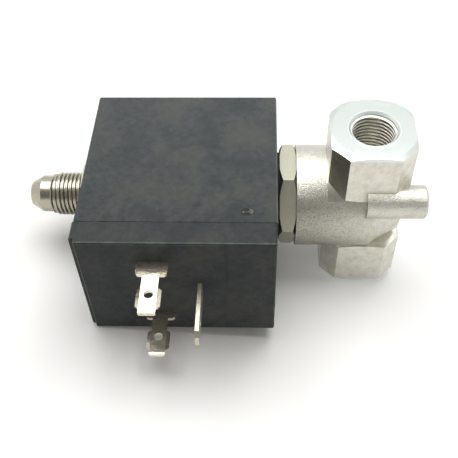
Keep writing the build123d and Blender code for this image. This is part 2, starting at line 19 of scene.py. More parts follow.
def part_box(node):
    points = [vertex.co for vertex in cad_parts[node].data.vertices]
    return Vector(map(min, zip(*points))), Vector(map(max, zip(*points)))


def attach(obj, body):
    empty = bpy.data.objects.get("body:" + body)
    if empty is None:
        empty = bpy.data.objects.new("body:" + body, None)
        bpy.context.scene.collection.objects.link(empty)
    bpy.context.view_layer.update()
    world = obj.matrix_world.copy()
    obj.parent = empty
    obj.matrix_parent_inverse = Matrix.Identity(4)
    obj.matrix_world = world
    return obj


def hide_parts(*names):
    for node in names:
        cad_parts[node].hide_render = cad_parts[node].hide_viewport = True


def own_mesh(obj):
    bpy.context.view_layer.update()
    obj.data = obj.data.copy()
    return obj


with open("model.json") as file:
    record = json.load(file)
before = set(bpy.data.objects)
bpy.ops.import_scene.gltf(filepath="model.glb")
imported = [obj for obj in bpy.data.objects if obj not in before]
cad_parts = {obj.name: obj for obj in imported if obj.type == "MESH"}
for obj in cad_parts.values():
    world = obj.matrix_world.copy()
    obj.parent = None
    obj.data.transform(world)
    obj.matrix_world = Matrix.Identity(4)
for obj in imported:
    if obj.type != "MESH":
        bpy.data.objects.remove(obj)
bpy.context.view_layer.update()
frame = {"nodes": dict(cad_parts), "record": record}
solids = frame["nodes"]
mounts = {mount["name"]: mount for mount in frame["record"]["mounts"]}
MM = 0.001

# %% [markdown]
# ## The table
#
# The valve doesn't stand level. The rim of its lower port touches the table at one end,
# and the lower left edge of the coil at the other, so the table is a plane through those
# two lines. It is easier to tilt the table than the valve, because every solid then stays
# where the CAD model has it.

# %% The table through the two lines of contact
TABLE_SIZE = 3.0
RIM_RADIUS = 8.9 * MM
coil_low, coil_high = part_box("coil_moulding")
body_low, body_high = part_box("valve_body")
rim = Vector((-RIM_RADIUS, 0, body_low.z))
edge = Vector((coil_low.x, 0, coil_low.z))
along = (rim - edge).normalized()
table_tilt = math.atan2(-along.z, along.x)

half = TABLE_SIZE / 2
across = Vector((0, 1, 0))
SQUARE = ((-1, -1), (1, -1), (1, 1), (-1, 1))
corners = [edge + along * a * half + across * b * half for a, b in SQUARE]
table_mesh = bpy.data.meshes.new("table")
table_mesh.from_pydata(corners, [], [(0, 1, 2, 3)])
table = bpy.data.objects.new("table", table_mesh)
bpy.context.scene.collection.objects.link(table)
print("table tilt in degrees:", round(math.degrees(table_tilt), 2))

# %% [markdown]
# ## The camera
#
# The valve is seen from above its front, from about 160 mm away. Three angles say where
# the camera stands: how far it looks down, how far it has walked round, and how far it is
# rolled. An empty and a Track To constraint could aim it, but a quaternion that turns the
# camera to face the valve, and then adds the roll, needs no other object.

# %% Stand the camera
LOOK_DOWN = math.radians(50.14)
WALK_ROUND = math.radians(3.48)
ROLL = math.radians(-2.25)
DISTANCE = 161.6 * MM
LENS = 57.73
AIM_FROM_COIL = Vector((10.0, -5.2, 0.0)) * MM

aim = (coil_low + coil_high) / 2 + AIM_FROM_COIL
back = Vector(
    (
        math.sin(WALK_ROUND) * math.cos(LOOK_DOWN),
        -math.cos(WALK_ROUND) * math.cos(LOOK_DOWN),
        math.sin(LOOK_DOWN),
    )
)
camera_data = bpy.data.cameras.new("camera")
camera_data.lens = LENS
camera_data.clip_start = 0.01
camera_data.clip_end = 10.0
camera = bpy.data.objects.new("camera", camera_data)
bpy.context.scene.collection.objects.link(camera)
camera.location = aim + back * DISTANCE
camera.rotation_mode = "QUATERNION"
camera.rotation_quaternion = (-back).to_track_quat("-Z", "Y") @ Quaternion((0, 0, 1), ROLL)
bpy.context.scene.camera = camera
print("camera:", round(DISTANCE / MM), "mm from the valve, with a lens of", LENS, "mm")

# %% [markdown]
# ## Helpers for materials
#
# Small helpers carry all the materials. One turns the hex colour that a paint chart or a
# picture editor shows into the linear colour that the renderer adds up. Another adds a
# node, sets it and links it, so that a material reads from top to bottom.

# %% Colour and node helpers
def linear(hex_colour):
    """An sRGB hex colour as linear RGBA."""
    channels = [int(hex_colour[i : i + 2], 16) / 255 for i in (1, 3, 5)]
    return [c / 12.92 if c <= 0.04045 else ((c + 0.055) / 1.055) ** 2.4 for c in channels] + [1.0]


def add(tree, kind, inputs=None, **settings):
    """Adds a node, gives it its settings, and sets or links its inputs by name or number."""
    made = tree.nodes.new(kind)
    for name, value in settings.items():
        setattr(made, name, value)
    for name, value in (inputs or {}).items():
        if isinstance(value, bpy.types.NodeSocket):
            tree.links.new(value, made.inputs[name])
        else:
            made.inputs[name].default_value = value
    return made


def per(size_mm):
    """The scale that makes a pattern's features about this many millimetres wide."""
    return 1 / (size_mm * MM)


def start_material(name, colour, metallic, roughness):
    """A material with one Principled shader. Returns it with its tree and its shader."""
    material = bpy.data.materials.new(name)
    material.use_nodes = True
    shader = material.node_tree.nodes["Principled BSDF"]
    shader.inputs["Base Color"].default_value = linear(colour)
    shader.inputs["Metallic"].default_value = metallic
    shader.inputs["Roughness"].default_value = roughness
    return material, material.node_tree, shader


print("half-way grey in linear light:", round(linear("#808080")[0], 3))

# %% [markdown]
# ## Table and light
#
# The table is a white laminate under a wide window, which stands a little behind the
# valve. A large grey card in front stands for the dark side of the room: metal shows
# what is round it, so without something dark to reflect it looks like white plastic.
# A picture of a real room could light it all, but two plain shapes are easier to steer.
# The room is plain white where the camera or a reflection sees it, and much weaker as a
# light, so that the shadow under the valve stays deep. The table glows a little where it
# is seen, and more towards the horizon, where it has to meet that white.

# %% Which rays see the backdrop
def seen_directly(tree):
    """1 for rays from the camera, from a reflection or through glass, and 0 for other light."""
    path = add(tree, "ShaderNodeLightPath").outputs
    seen = add(
        tree,
        "ShaderNodeMath",
        {0: path["Is Camera Ray"], 1: path["Is Glossy Ray"]},
        operation="MAXIMUM",
    )
    return add(
        tree,
        "ShaderNodeMath",
        {0: seen.outputs[0], 1: path["Is Transmission Ray"]},
        operation="MAXIMUM",
    ).outputs[0]


def offset_from(tree, coordinate, middle):
    """How far a coordinate is from a middle, on either side."""
    apart = add(tree, "ShaderNodeMath", {0: coordinate, 1: middle}, operation="SUBTRACT")
    return add(tree, "ShaderNodeMath", {0: apart.outputs[0]}, operation="ABSOLUTE").outputs[0]


def beyond(tree, coordinate, low, high):
    """How far a coordinate lies outside a span, and 0 within it."""
    apart = offset_from(tree, coordinate, (low + high) / 2)
    past = add(tree, "ShaderNodeMath", {0: apart, 1: (high - low) / 2}, operation="SUBTRACT")
    return add(tree, "ShaderNodeMath", {0: past.outputs[0], 1: 0.0}, operation="MAXIMUM").outputs[0]


# %% Table material: it glows faintly, more so away from the coil and at the horizon
# Painted light: the glow is weak next to the coil and grows over the next 30 mm, so that the valve's shadow
# fades out sooner, and it starts 8 mm short of the coil's right end, which lightens the shadow right of the
# coil.
GLOW_NEAR = 0.04
GLOW_FAR = 0.24
GLOW_STARTS = 3 * MM
GLOW_IS_FULL = 30 * MM
BRIGHT_END = 8 * MM
HORIZON_STARTS = 120 * MM
HORIZON_IS_WHITE = 900 * MM
HORIZON_GLOW = 0.75
material, tree, shader = start_material("white_laminate", "#FBFAF8", 0.0, 0.6)
xyz = add(tree, "ShaderNodeSeparateXYZ", {0: add(tree, "ShaderNodeTexCoord").outputs["Object"]}).outputs
gap = add(
    tree,
    "ShaderNodeCombineXYZ",
    {
        "X": beyond(tree, xyz["X"], coil_low.x, coil_high.x - BRIGHT_END),
        "Y": beyond(tree, xyz["Y"], coil_low.y, coil_high.y),
    },
)
gap = add(tree, "ShaderNodeVectorMath", {0: gap.outputs[0]}, operation="LENGTH").outputs["Value"]
glow = add(
    tree,
    "ShaderNodeMapRange",
    {
        "Value": gap,
        "From Min": GLOW_STARTS,
        "From Max": GLOW_IS_FULL,
        "To Min": GLOW_NEAR,
        "To Max": GLOW_FAR,
    },
).outputs[0]
horizon = add(
    tree,
    "ShaderNodeMapRange",
    {"Value": gap, "From Min": HORIZON_STARTS, "From Max": HORIZON_IS_WHITE, "To Max": HORIZON_GLOW},
).outputs[0]
glow = add(tree, "ShaderNodeMath", {0: glow, 1: horizon}, operation="ADD").outputs[0]
glow = add(tree, "ShaderNodeMath", {0: seen_directly(tree), 1: glow}, operation="MULTIPLY").outputs[0]
shader.inputs["Emission Color"].default_value = (1, 1, 1, 1)
tree.links.new(glow, shader.inputs["Emission Strength"])
table.data.materials.append(material)
print("table:", material.name, "with", len(tree.nodes), "nodes")

# %% Room light
ROOM_LIGHT = 0.15
world = bpy.data.worlds.new("room")
world.use_nodes = True
bpy.context.scene.world = world
tree = world.node_tree
tree.nodes.clear()
room = add(tree, "ShaderNodeBackground", {"Color": (1, 1, 1, 1), "Strength": ROOM_LIGHT})
white = add(tree, "ShaderNodeBackground", {"Color": (1, 1, 1, 1), "Strength": 1.0})
both = add(
    tree,
    "ShaderNodeMixShader",
    {0: seen_directly(tree), 1: room.outputs[0], 2: white.outputs[0]},
)
add(tree, "ShaderNodeOutputWorld", {"Surface": both.outputs[0]})
bpy.context.scene.view_settings.view_transform = "Standard"
print("room light:", ROOM_LIGHT, "of the white that is seen")


# %% The window and the grey card
def direction(azimuth, elevation):
    """Unit vector towards a lamp: azimuth 0 is the front, 90 the right, in degrees."""
    a, e = math.radians(azimuth), math.radians(elevation)
    return Vector((math.sin(a) * math.cos(e), -math.cos(a) * math.cos(e), math.sin(e)))


def soft_lamp(name, azimuth, elevation, distance, width, height, power):
    """Rectangular lamp that faces the valve."""
    data = bpy.data.lights.new(name, "AREA")
    data.shape = "RECTANGLE"
    data.size = width
    data.size_y = height
    data.energy = power
    lamp = bpy.data.objects.new(name, data)
    bpy.context.scene.collection.objects.link(lamp)
    towards = direction(azimuth, elevation)
    lamp.location = aim + towards * distance
    lamp.rotation_mode = "QUATERNION"
    lamp.rotation_quaternion = towards.to_track_quat("Z", "Y")
    print(name, "is", width, "by", height, "m, with", power, "W")


def grey_card(name, azimuth, elevation, distance, width, height, felt):
    """Card that the camera doesn't see, and that metal shows as a dark patch."""
    towards = direction(azimuth, elevation)
    middle = aim + towards * distance
    side = Vector((0, 0, 1)).cross(towards).normalized()
    up = towards.cross(side)
    spots = [middle + side * a * width / 2 + up * b * height / 2 for a, b in SQUARE]
    mesh = bpy.data.meshes.new(name)
    mesh.from_pydata(spots, [], [(0, 1, 2, 3)])
    card = bpy.data.objects.new(name, mesh)
    bpy.context.scene.collection.objects.link(card)
    card.visible_camera = False
    card.visible_shadow = False
    card.data.materials.append(start_material(name + "_felt", felt, 0.0, 0.9)[0])
    print(name, "is", width, "by", height, "m")


soft_lamp("wide_window", azimuth=180, elevation=77, distance=0.60, width=0.62, height=0.47, power=3.6)
grey_card("room_card", azimuth=0, elevation=44, distance=0.50, width=1.0, height=0.60, felt="#ABABA5")

# %% [markdown]
# ## A tree that grows a screw ridge
#
# A thread, and a layer of wire, is one ridge that climbs round a cylinder. Geometry
# Nodes make it from a spiral: the curve's normals are set to stay square to the axis,
# a small trapezoid with rounded corners is carried along it, and the ridge fades out at
# both ends. A Screw modifier could do it too, but it can't fade a ridge out, and one tree
# with named sizes serves all four places: the tapped ports, where the ridge grows
# inwards, and the outlet's thread and the winding, where it grows outwards.

# %% The tree's inputs
PROFILE_CORNER_STEPS = 2
TIP_SCALE = 0.08  # of the full profile, at both ends of a ridge


def number(tree, label, kind="NodeSocketFloat"):
    """Adds a named input to a tree."""
    tree.interface.new_socket(name=label, in_out="INPUT", socket_type=kind)


ridge = bpy.data.node_groups.new("screw_ridge", "GeometryNodeTree")
ridge.is_modifier = True
ridge.interface.new_socket(name="Geometry", in_out="OUTPUT", socket_type="NodeSocketGeometry")
number(ridge, "Core", "NodeSocketGeometry")
for label in ("Radius", "Pitch", "Length", "Depth", "Base Width", "Crest Width", "Rounding"):
    number(ridge, label)
for label in ("Side", "Overlap", "Fade Turns"):
    number(ridge, label)
number(ridge, "Steps", "NodeSocketInt")
number(ridge, "Place", "NodeSocketVector")
number(ridge, "Turn", "NodeSocketVector")
number(ridge, "Material", "NodeSocketMaterial")
print("ridge tree:", len(ridge.interface.items_tree), "sockets")

# %% The spiral that the ridge follows
given = add(ridge, "NodeGroupInput").outputs
turns = add(ridge, "ShaderNodeMath", {0: given["Length"], 1: given["Pitch"]}, operation="DIVIDE").outputs[0]
spiral = add(
    ridge,
    "GeometryNodeCurveSpiral",
    {
        "Resolution": given["Steps"],
        "Rotations": turns,
        "Start Radius": given["Radius"],
        "End Radius": given["Radius"],
        "Height": given["Length"],
        "Reverse": True,
    },
)
upright = add(ridge, "GeometryNodeSetCurveNormal", {"Curve": spiral.outputs[0]}, mode="Z_UP")

# %% The profile: its base is sunk in the wall by the overlap, and its crest is free
depth_and_overlap = {0: given["Depth"], 1: given["Overlap"]}
full = add(ridge, "ShaderNodeMath", depth_and_overlap, operation="ADD").outputs[0]
free = add(ridge, "ShaderNodeMath", depth_and_overlap, operation="SUBTRACT").outputs[0]
middle = add(ridge, "ShaderNodeMath", {0: free, 1: 0.5}, operation="MULTIPLY").outputs[0]
shift = add(ridge, "ShaderNodeMath", {0: middle, 1: given["Side"]}, operation="MULTIPLY").outputs[0]
quarter = add(
    ridge, "ShaderNodeMath", {0: given["Side"], 1: -math.pi / 2}, operation="MULTIPLY"
).outputs[0]
profile = add(
    ridge,
    "GeometryNodeCurvePrimitiveQuadrilateral",
    {
        "Height": full,
        "Bottom Width": given["Base Width"],
        "Top Width": given["Crest Width"],
        "Offset": 0.0,
    },
    mode="TRAPEZOID",
)
profile = add(
    ridge,
    "GeometryNodeFilletCurve",
    {
        "Curve": profile.outputs[0],
        "Radius": given["Rounding"],
        "Count": PROFILE_CORNER_STEPS,
        "Limit Radius": True,
    },
    mode="POLY",
)
where = add(ridge, "ShaderNodeCombineXYZ", {"X": shift})
facing = add(ridge, "ShaderNodeCombineXYZ", {"Z": quarter})
profile = add(
    ridge,
    "GeometryNodeTransform",
    {"Geometry": profile.outputs[0], "Translation": where.outputs[0], "Rotation": facing.outputs[0]},
)

# %% The profile is carried along, and shrinks to a tip over the fade at each end
along_ridge = add(ridge, "GeometryNodeSplineParameter").outputs["Factor"]
rest = add(ridge, "ShaderNodeMath", {0: 1.0, 1: along_ridge}, operation="SUBTRACT").outputs[0]
nearer = add(ridge, "ShaderNodeMath", {0: along_ridge, 1: rest}, operation="MINIMUM").outputs[0]
nearer = add(ridge, "ShaderNodeMath", {0: nearer, 1: turns}, operation="MULTIPLY").outputs[0]
swell = add(
    ridge,
    "ShaderNodeMapRange",
    {"Value": nearer, "From Max": given["Fade Turns"], "To Min": TIP_SCALE},
)
solid = add(
    ridge,
    "GeometryNodeCurveToMesh",
    {
        "Curve": upright.outputs[0],
        "Profile Curve": profile.outputs[0],
        "Scale": swell.outputs[0],
        "Fill Caps": True,
    },
)
placed = add(
    ridge,
    "GeometryNodeTransform",
    {"Geometry": solid.outputs[0], "Translation": given["Place"], "Rotation": given["Turn"]},
)
rounded = add(ridge, "GeometryNodeSetShadeSmooth", {"Geometry": placed.outputs[0], "Shade Smooth": True})
whole = add(ridge, "GeometryNodeJoinGeometry", {0: rounded.outputs[0]})
ridge.links.new(given["Core"], whole.inputs[0])
loose = add(ridge, "GeometryNodeRealizeInstances", {"Geometry": whole.outputs[0]})
dressed = add(
    ridge, "GeometryNodeSetMaterial", {"Geometry": loose.outputs[0], "Material": given["Material"]}
)
out = add(ridge, "NodeGroupOutput")
ridge.links.new(dressed.outputs[0], out.inputs[0])
print("ridge tree:", len(ridge.nodes), "nodes")


# %% A helper that runs a tree once
def grow(name, tree, values, core=None):
    """Runs a Geometry Nodes tree on a core, or on nothing, and keeps its result as a plain mesh."""
    piece = bpy.data.objects.new(name, core or bpy.data.meshes.new(name + "_start"))
    bpy.context.scene.collection.objects.link(piece)
    modifier = piece.modifiers.new("grow", "NODES")
    modifier.node_group = tree
    sockets = {item.name: item.identifier for item in tree.interface.items_tree if item.in_out == "INPUT"}
    for label, value in values.items():
        modifier[sockets[label]] = value
    graph = bpy.context.evaluated_depsgraph_get()
    mesh = bpy.data.meshes.new_from_object(piece.evaluated_get(graph))
    piece.modifiers.remove(modifier)
    piece.data = mesh
    mesh.name = name
    print(name, "has", len(mesh.polygons), "faces")
    return piece


# %% [markdown]
# ## Nickel plate on forged brass
#
# The body is a brass forging, shot-blasted and then nickel-plated, so its neck, nose and
# rod sparkle with fine grit. The port bosses have smoother flats, and their mouths,
# chamfers and bores were machined after the blasting. Three materials could share the
# faces, but the solid's faces aren't sorted by how they were made. So one material asks
# where a point lies on the body, in Object coordinates, and turns the grit down there.
# The nickel is a warm silver on the blasted skin, and cooler where it is machined.

# %% Where the body was machined, and where its bosses are
axis_z = (body_low.z + body_high.z) / 2
MACHINED_FROM = 19.4 * MM
BOSS_MIDDLE_X = -0.25 * MM
BOSS_HALF_WIDTH = 8.85 * MM
BOSS_HALF_DEPTH = 9.1 * MM
BOSS_FROM = 7.4 * MM


def body_areas(tree, xyz):
    """Two masks on the body: 1 on the machined mouths, and 1 on the bosses."""
    high = offset_from(tree, xyz["Z"], axis_z)
    machined = add(tree, "ShaderNodeMath", {0: high, 1: MACHINED_FROM}, operation="GREATER_THAN").outputs[0]
    boss = add(tree, "ShaderNodeMath", {0: high, 1: BOSS_FROM}, operation="GREATER_THAN").outputs[0]
    spans = (("X", BOSS_MIDDLE_X, BOSS_HALF_WIDTH), ("Y", 0.0, BOSS_HALF_DEPTH))
    for side, middle, reach in spans:
        apart = offset_from(tree, xyz[side], middle)
        inside = add(tree, "ShaderNodeMath", {0: apart, 1: reach}, operation="LESS_THAN").outputs[0]
        boss = add(tree, "ShaderNodeMath", {0: boss, 1: inside}, operation="MULTIPLY").outputs[0]
    return machined, boss


print("tube axis:", round(axis_z / MM, 2), "mm above the origin")


# %% The plate's relief
GRIT = 0.28  # mm between shot marks: coarser than real ones, so that they show
GRIT_DEPTH = 0.14 * MM
BOSS_GRIT = 0.28  # share of the grit that the smoother bosses keep
LATHE_MARK = 0.22  # mm from one turning mark to the next, drawn coarse as well
LATHE_DEPTH = 0.012 * MM


def plate_relief(tree, grit, radius, machined, boss):
    """Shot marks, weak on the bosses and none where machined, and rings round the port's axis there."""
    amount = add(tree, "ShaderNodeMapRange", {"Value": boss, "To Min": 1.0, "To Max": BOSS_GRIT}).outputs[0]
    flat = add(tree, "ShaderNodeMapRange", {"Value": machined, "To Min": 1.0, "To Max": 0.0}).outputs[0]
    amount = add(tree, "ShaderNodeMath", {0: amount, 1: flat}, operation="MULTIPLY").outputs[0]
    pits = add(tree, "ShaderNodeMath", {0: grit, 1: amount}, operation="MULTIPLY").outputs[0]
    skin = add(tree, "ShaderNodeBump", {"Height": pits, "Strength": 1.0, "Distance": GRIT_DEPTH})
    rings = add(
        tree,
        "ShaderNodeTexNoise",
        {"W": radius, "Scale": per(LATHE_MARK), "Detail": 1.0},
        noise_dimensions="1D",
    ).outputs["Fac"]
    rings = add(tree, "ShaderNodeMath", {0: rings, 1: machined}, operation="MULTIPLY").outputs[0]
    return add(
        tree,
        "ShaderNodeBump",
        {"Height": rings, "Strength": 1.0, "Distance": LATHE_DEPTH, "Normal": skin.outputs[0]},
    ).outputs[0]


# %% Painted shade on the neck
# Painted shade: the nickel is darkened below the neck's top.
NECK_SHADE_AMOUNT = 0.5
NECK_SHADE_STARTS = 8.6 * MM  # above the tube's axis
NECK_SHADE_IS_FULL = 6.2 * MM
NECK_IS_SHADED_X = -11 * MM
NOSE_IS_UNSHADED_X = 3 * MM


def painted_neck_shade(tree, xyz, boss):
    """Painted shade on the neck: darker below its top, fading out towards the nose, and none on the bosses.
    """
    low_on = add(
        tree,
        "ShaderNodeMapRange",
        {
            "Value": xyz["Z"],
            "From Min": axis_z + NECK_SHADE_STARTS,
            "From Max": axis_z + NECK_SHADE_IS_FULL,
            "To Max": NECK_SHADE_AMOUNT,
        },
    ).outputs[0]
    neck = add(
        tree,
        "ShaderNodeMapRange",
        {"Value": xyz["X"], "From Min": NOSE_IS_UNSHADED_X, "From Max": NECK_IS_SHADED_X},
    ).outputs[0]
    neck_shade = add(tree, "ShaderNodeMath", {0: low_on, 1: neck}, operation="MULTIPLY").outputs[0]
    off_boss = add(tree, "ShaderNodeMath", {0: 1.0, 1: boss}, operation="SUBTRACT").outputs[0]
    return add(tree, "ShaderNodeMath", {0: neck_shade, 1: off_boss}, operation="MULTIPLY").outputs[0]


# %% The plate's colour
STAIN_WIDTH = 2.2  # mm
SPECK_WIDTH = 0.9  # mm
BLASTED = 0.3  # how far the blasted skin is paler than the bosses


def plate_colour(tree, place, grit, machined, boss, neck_shade):
    """Warm nickel with stains, painted shade in the shot marks, specks and painted shade low on the neck,
    and cooler nickel where machined.
    """
    patch = add(
        tree,
        "ShaderNodeTexNoise",
        {"Vector": place, "Scale": per(STAIN_WIDTH), "Detail": 6.0, "Roughness": 0.72},
    ).outputs["Fac"]
    stain = add(
        tree,
        "ShaderNodeMapRange",
        {"Value": patch, "From Min": 0.42, "From Max": 0.68, "To Max": 0.6},
    ).outputs[0]
    speck = add(
        tree,
        "ShaderNodeTexNoise",
        {"Vector": place, "Scale": per(SPECK_WIDTH), "Detail": 3.0},
    ).outputs["Fac"]
    speck = add(
        tree,
        "ShaderNodeMapRange",
        {"Value": speck, "From Min": 0.6, "From Max": 0.75, "To Max": 0.35},
    ).outputs[0]
    blasted = add(tree, "ShaderNodeMapRange", {"Value": boss, "To Min": BLASTED, "To Max": 0.0}).outputs[0]
    # Painted shade in the bottoms of the shot marks, only on the blasted skin.
    shade = add(
        tree,
        "ShaderNodeMapRange",
        {"Value": grit, "From Min": 0.52, "From Max": 0.38, "To Max": 1.2},
    ).outputs[0]
    # The painted shade on the neck also deepens the painted shade in the shot marks.
    held = add(tree, "ShaderNodeMath", {0: neck_shade, 1: blasted}, operation="ADD").outputs[0]
    shade = add(tree, "ShaderNodeMath", {0: shade, 1: held}, operation="MULTIPLY").outputs[0]
    colour = linear("#D9D7CC")
    films = (
        (stain, "#B5B1A1"),
        (blasted, "#DAD8CE"),
        # painted shade in the bottoms of the shot marks
        (shade, "#908C80"),
        (speck, "#A59F94"),
        # painted shade low on the neck
        (neck_shade, "#7F7C70"),
        (machined, "#D8DEDA"),
    )
    for amount, tint in films:
        colour = add(
            tree,
            "ShaderNodeMix",
            {"Factor": amount, "A": colour, "B": linear(tint)},
            data_type="RGBA",
        ).outputs["Result"]
    return colour


# %% Nickel plate
SINK_RADIUS = 5.45 * MM
SINK_ROUGHER = 0.25
PLATE_ROUGHNESS = 0.28
MACHINED_ROUGHNESS = 0.25


def nickel_plate():
    """Bright nickel on blasted brass, with machined mouths whose countersinks are rougher."""
    material, tree, shader = start_material("nickel_plate_on_brass", "#DCDAD1", 1.0, 0.3)
    place = add(tree, "ShaderNodeTexCoord").outputs["Object"]
    xyz = add(tree, "ShaderNodeSeparateXYZ", {0: place}).outputs
    machined, boss = body_areas(tree, xyz)
    from_port = add(tree, "ShaderNodeCombineXYZ", {"X": xyz["X"], "Y": xyz["Y"]}).outputs[0]
    radius = add(tree, "ShaderNodeVectorMath", {0: from_port}, operation="LENGTH").outputs["Value"]
    grit = add(
        tree,
        "ShaderNodeTexNoise",
        {"Vector": place, "Scale": per(GRIT), "Detail": 3.0, "Roughness": 0.65},
    ).outputs["Fac"]
    tree.links.new(plate_relief(tree, grit, radius, machined, boss), shader.inputs["Normal"])
    neck_shade = painted_neck_shade(tree, xyz, boss)
    colour = plate_colour(tree, place, grit, machined, boss, neck_shade)
    tree.links.new(colour, shader.inputs["Base Color"])

    rough = add(
        tree,
        "ShaderNodeMapRange",
        {"Value": machined, "To Min": PLATE_ROUGHNESS, "To Max": MACHINED_ROUGHNESS},
    ).outputs[0]
    sunk = add(tree, "ShaderNodeMath", {0: radius, 1: SINK_RADIUS}, operation="LESS_THAN").outputs[0]
    sunk = add(tree, "ShaderNodeMath", {0: sunk, 1: machined}, operation="MULTIPLY").outputs[0]
    rough = add(
        tree,
        "ShaderNodeMath",
        {0: sunk, 1: SINK_ROUGHER, 2: rough},
        operation="MULTIPLY_ADD",
    ).outputs[0]
    tree.links.new(rough, shader.inputs["Roughness"])
    return material


nickel = nickel_plate()
print(nickel.name, "has", len(nickel.node_tree.nodes), "nodes")

# %% [markdown]
# ## Moulded resin
#
# The coil is cast in black, glass-filled resin, in a spark-eroded mould, so it is matt
# with a fine grain and cloudy patches. Its edges carry a painted highlight, a pale line.
# A Bevel node or the Geometry node's Pointiness can find edges, but both depend on the
# mesh and the renderer.
# Here a point is near an edge when it is near two of the block's faces at once, so the
# material measures how near it is to the faces in X, Y and Z, and takes the middle one
# of the three.

# %% The resin's clouds and smoke
CLOUD_WIDTH = 1.6  # mm
SMOKE_WIDTH = 9.0  # mm
SMOKE = 0.5
PALE_SMOKE = (0.5, 0.7)  # the noise's values where it starts and where it is full
DEEP_SMOKE = (0.48, 0.3)
SHEEN_FROM_Y = -20 * MM
SHEEN_TO_Y = 16 * MM
BACK_SHEEN = 0.12
CAP_SEAM_Y = -21.15 * MM
CAP_DARKER = 0.25


def resin_colour(tree, place, xyz, cloud):
    """Uneven black: clouds, wide smoke, a painted sheen that grows towards the back, and a darker cap."""
    uneven = add(tree, "ShaderNodeMapRange", {"Value": cloud, "From Min": 0.22, "From Max": 0.78}).outputs[0]
    smoke = add(
        tree,
        "ShaderNodeTexNoise",
        {"Vector": place, "Scale": per(SMOKE_WIDTH), "Detail": 3.0, "Distortion": 0.6},
    ).outputs["Fac"]
    pale_smoke, deep_smoke = (
        add(
            tree,
            "ShaderNodeMapRange",
            {"Value": smoke, "From Min": low, "From Max": high, "To Max": SMOKE},
        ).outputs[0]
        for low, high in (PALE_SMOKE, DEEP_SMOKE)
    )
    # Painted sheen: the black turns paler towards the back of the coil, where the window's sheen grows.
    painted_sheen = add(
        tree,
        "ShaderNodeMapRange",
        {"Value": xyz["Y"], "From Min": SHEEN_FROM_Y, "From Max": SHEEN_TO_Y, "To Max": BACK_SHEEN},
    ).outputs[0]
    cap = add(tree, "ShaderNodeMath", {0: xyz["Y"], 1: CAP_SEAM_Y}, operation="LESS_THAN").outputs[0]
    cap = add(tree, "ShaderNodeMath", {0: cap, 1: CAP_DARKER}, operation="MULTIPLY").outputs[0]
    colour = linear("#1E2122")
    films = (
        (uneven, "#565A5A"),
        (pale_smoke, "#5B5A52"),
        (deep_smoke, "#24292C"),
        # painted sheen, paler towards the back
        (painted_sheen, "#7C8688"),
        (cap, "#0E1012"),
    )
    for amount, tint in films:
        colour = add(
            tree,
            "ShaderNodeMix",
            {"Factor": amount, "A": colour, "B": linear(tint)},
            data_type="RGBA",
        ).outputs["Result"]
    return colour


# %% The resin's painted edge highlight
# Painted highlight along the coil's edges.
EDGE_HIGHLIGHT_WIDTH = 0.32 * MM
CAP_FACE_Y = -26.45 * MM
CAP_CHAMFER = 1.0 * MM
CHAMFER_HIGHLIGHT_WIDTH = 0.22 * MM
CHAMFER_HIGHLIGHT = 0.8


def painted_edge_highlight(tree, xyz):
    """Painted highlight: 1 along the block's edges and nearly so along the front of the cap's chamfer, and 0
    elsewhere.
    """
    near = []
    block_low = (coil_low.x, CAP_FACE_Y, coil_low.z)
    for side, low, high in zip("XYZ", block_low, coil_high):
        apart = offset_from(tree, xyz[side], (low + high) / 2)
        reach = (high - low) / 2
        near.append(
            add(
                tree,
                "ShaderNodeMapRange",
                {"Value": apart, "From Min": reach - EDGE_HIGHLIGHT_WIDTH, "From Max": reach},
            ).outputs[0]
        )
    pairs = ((near[0], near[1]), (near[1], near[2]), (near[0], near[2]))
    edge_highlight = 0.0
    for one, other in pairs:
        both = add(tree, "ShaderNodeMath", {0: one, 1: other}, operation="MINIMUM").outputs[0]
        edge_highlight = add(tree, "ShaderNodeMath", {0: both, 1: edge_highlight}, operation="MAXIMUM").outputs[0]

    # The cap's outer side has a chamfer, and that edge of its front gets the painted highlight too.
    apart = offset_from(tree, xyz["X"], coil_low.x + CAP_CHAMFER)
    line = add(
        tree,
        "ShaderNodeMapRange",
        {"Value": apart, "From Max": CHAMFER_HIGHLIGHT_WIDTH, "To Min": CHAMFER_HIGHLIGHT, "To Max": 0.0},
    ).outputs[0]
    front = add(
        tree,
        "ShaderNodeMath",
        {0: xyz["Y"], 1: CAP_FACE_Y + CHAMFER_HIGHLIGHT_WIDTH},
        operation="LESS_THAN",
    ).outputs[0]
    line = add(tree, "ShaderNodeMath", {0: line, 1: front}, operation="MULTIPLY").outputs[0]
    return add(tree, "ShaderNodeMath", {0: edge_highlight, 1: line}, operation="MAXIMUM").outputs[0]


# %% Moulded resin of the coil
RESIN_GRAIN = 0.55  # mm
RESIN_GRAIN_DEPTH = 0.11 * MM
RESIN_SHINE = 0.28


